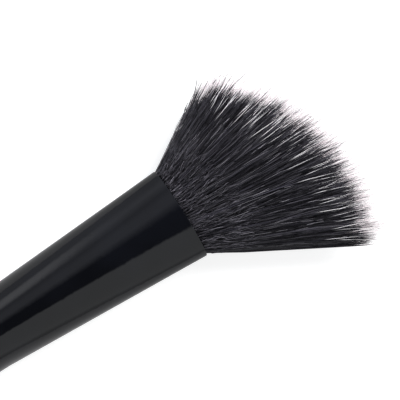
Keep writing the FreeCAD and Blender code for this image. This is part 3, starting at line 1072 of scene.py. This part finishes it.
@dataclass(frozen=True)
class Studio:
    """A pale floor and soft light, in metres, watts and degrees.

    The world is two long pale walls of light beside the brush, each with its own tint, and a
    dark gap overhead. Its levels go by the angle round the brush's length, 0 being overhead. A
    key lamp gives the hair its light, and a strip lamp a soft streak along the barrel.
    """

    floor_half_width: float = 3.0
    floor_drop: float = 0.00002
    floor_glow: float = 0.75
    floor_glow_in_gloss: float = 0.12
    floor_colour: Colour = (0.5, 0.5, 0.5)
    key_power: float = 10.5
    key_size: float = 0.5
    key_distance: float = 0.9
    key_from: Place = (0.73, 0.18, 0.66)
    strip_power: float = 0.137
    strip_size: Pair = (0.36, 0.15)
    strip_fading: Pair = (0.4, 0.9)
    strip_middle: float = -0.095
    strip_distance: float = 0.3
    strip_angle: float = 54.0
    low_side_tint: Colour = (0.98, 1.0, 1.0)
    high_side_tint: Colour = (0.97, 1.0, 1.1)
    sky: Table = (
        (-180, -91, -85, -77, -22.7, -19.7, 6, 18, 28, 38, 54, 70, 90, 180),
        (0.5, 0.5, 0.55, 0.9, 0.92, 0.06, 0.06, 0.6, 0.6, 0.45, 0.85, 0.6, 0.5, 0.5),
    )

    def build(self) -> None:
        """Sets up the floor, the world and the two lamps. The key lamp isn't seen in gloss."""
        self._lay_floor()
        self._light_world()
        key = bpy.data.lights.new("key", "AREA")
        key.energy = self.key_power
        key.size = self.key_size
        self._hang(key, self.key_distance * Vector(self.key_from)).visible_glossy = False
        strip = bpy.data.lights.new("strip", "AREA")
        strip.shape = "RECTANGLE"
        strip.energy = self.strip_power
        strip.size, strip.size_y = self.strip_size
        self._soften(strip)
        angle = math.radians(self.strip_angle)
        beside = self.strip_distance * Vector((0, math.sin(angle), math.cos(angle)))
        self._hang(strip, beside, Vector((self.strip_middle, 0, 0)))

    def _lay_floor(self) -> None:
        """Lays the floor, which is clear from below.

        To camera, gloss and glass it adds a glow to its colour, and keeps the shadows on it.
        """
        made, graph = blank_material("pale_floor")
        camera, gloss, glass = (
            graph.node("ShaderNodeLightPath", output=f"Is {ray} Ray")
            for ray in ("Camera", "Glossy", "Transmission")
        )
        glow_seen = camera.larger(glass) * self.floor_glow + gloss * self.floor_glow_in_gloss
        paint = graph.node("ShaderNodeBsdfDiffuse", None, {"Color": (*self.floor_colour, 1.0)})
        glow = graph.node("ShaderNodeEmission", None, {"Strength": glow_seen})
        lit = graph.node("ShaderNodeAddShader", None, {0: paint, 1: glow})
        clear = graph.node("ShaderNodeBsdfTransparent")
        below = graph.node("ShaderNodeNewGeometry", output="Backfacing")
        graph.surface(graph.node("ShaderNodeMixShader", None, {0: below, 1: lit, 2: clear}))
        half, height = self.floor_half_width, -self.floor_drop
        mesh = bpy.data.meshes.new("floor")
        corners = [(-half, -half), (half, -half), (half, half), (-half, half)]
        mesh.from_pydata([(x, y, height) for x, y in corners], [], [(0, 1, 2, 3)])
        mesh.materials.append(made)
        floor = put_in_scene("floor", mesh)

    def _light_world(self) -> None:
        """Lights the world by the angle round the brush's length, and shows camera white."""
        world = bpy.data.worlds.new("studio")
        bpy.context.scene.world = world
        graph = Graph(world)
        way = graph.node("ShaderNodeTexCoord", output="Generated")
        angle = graph.part(way, "Y").angle_from(graph.part(way, "Z"))
        stops = []
        for degrees, level in zip(*self.sky):
            tint = self.high_side_tint if degrees > 0 else self.low_side_tint
            stops.append(((degrees + 180) / 360, [level * part for part in tint]))
        turned = angle / (2 * math.pi) + 0.5
        light = graph.node("ShaderNodeValToRGB", {"stops": stops}, {0: turned})
        seen = graph.node("ShaderNodeLightPath", output="Is Camera Ray")
        colour = graph.blend(seen, light, (1.0, 1.0, 1.0))
        graph.surface(graph.node("ShaderNodeBackground", None, {"Color": colour}))

    def _soften(self, lamp: Light) -> None:
        """Lets a rectangular lamp fade to its edges.

        With u and v from 0 to 1 over it, its light goes by smooth steps of 4 u (1 - u) and
        4 v (1 - v).
        """
        graph = Graph(lamp)
        place = graph.node("ShaderNodeNewGeometry", output="Parametric")
        u, v = graph.part(place, "X"), graph.part(place, "Y")
        fading_u, fading_v = self.strip_fading
        share = (u * (1 - u) * 4).eased(0, fading_u) * (v * (1 - v) * 4).eased(0, fading_v)
        colour = graph.blend(share, (0.0, 0.0, 0.0), (1.0, 1.0, 1.0))
        graph.surface(graph.node("ShaderNodeEmission", None, {"Color": colour}))

    @staticmethod
    def _hang(
        lamp: Light, way: Vector, aim: Vector = Vector((0, 0, 0))
    ) -> Object:
        """Hangs a lamp, with its length along X, that faces back along its way to its aim.

        Args:
            lamp: The lamp's data.
            way: The way from the aim to the lamp, in metres.
            aim: The point that it faces.

        Returns:
            The lamp's object.
        """
        back = way.normalized()
        from_the_side = abs(back.y) > 0.5
        across = back.cross(Vector((1, 0, 0))) if from_the_side else Vector((0, 1, 0))
        along = across.cross(back).normalized()
        turned = Matrix((along, back.cross(along), back)).transposed().to_4x4()
        hung = put_in_scene(lamp.name, lamp)
        hung.matrix_world = Matrix.Translation(aim + way) @ turned
        return hung


@dataclass(frozen=True)
class Viewpoint:
    """The camera, placed by where the ferrule's mouth is in the picture.

    Sizes are in millimetres and degrees. The mouth is so far right of the picture's middle and
    so far above it, in the plane through the mouth.
    """

    mouth: Place
    lens: float = 200.0
    sensor: float = 36.0
    frame_width: float = 88.9
    tilt: float = 9.0
    roll: float = 32.3
    mouth_right: float = -4.33
    mouth_up: float = -3.0
    nearest: float = 10.0
    farthest: float = 10000.0

    def build(self) -> None:
        """Makes the camera: it looks down on the fan, tilted towards the handle and rolled."""
        tilt, roll = math.radians(self.tilt), math.radians(self.roll)
        back = Vector((-math.sin(tilt), 0, math.cos(tilt)))
        brush = Vector((math.cos(tilt), 0, math.sin(tilt)))
        fan = Vector((0, 1, 0))
        right = math.cos(roll) * brush - math.sin(roll) * fan
        up = math.sin(roll) * brush + math.cos(roll) * fan
        distance = self.frame_width / self.sensor * self.lens
        middle = Vector(self.mouth) - self.mouth_right * right - self.mouth_up * up
        spot = (middle + distance * back) * MILLIMETRE
        made = bpy.data.cameras.new("camera")
        made.lens = self.lens
        made.sensor_width = self.sensor
        made.clip_start, made.clip_end = self.nearest * MILLIMETRE, self.farthest * MILLIMETRE
        camera = put_in_scene("camera", made)
        turned = Matrix((right, up, back)).transposed().to_4x4()
        camera.matrix_world = Matrix.Translation(spot) @ turned
        bpy.context.scene.camera = camera


def mouth_of(node: str) -> Place:
    """The middle of the ferrule's mouth, in millimetres.

    It is at the far end of the node's box along the brush, and in the box's middle otherwise.
    """
    low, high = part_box(node)
    sideways, upwards = (low.y + high.y) / 2, (low.z + high.z) / 2
    return (high.x / MILLIMETRE, sideways / MILLIMETRE, upwards / MILLIMETRE)


def main() -> None:
    """Builds the brush's looks, the studio and the camera, in that order."""
    logging.basicConfig(level=logging.INFO, format="%(name)s: %(message)s")
    bpy.context.scene.view_settings.view_transform = "Standard"
    bpy.context.scene.cycles.denoising_prefilter = "NONE"
    mouth = mouth_of("ferrule")
    Barrel().dress(frame["nodes"])
    Tuft(Fan(mouth), dark_coats() + pale_coats() + stray_coats()).build()
    Studio().build()
    Viewpoint(mouth).build()


if __name__ == "__main__":
    main()
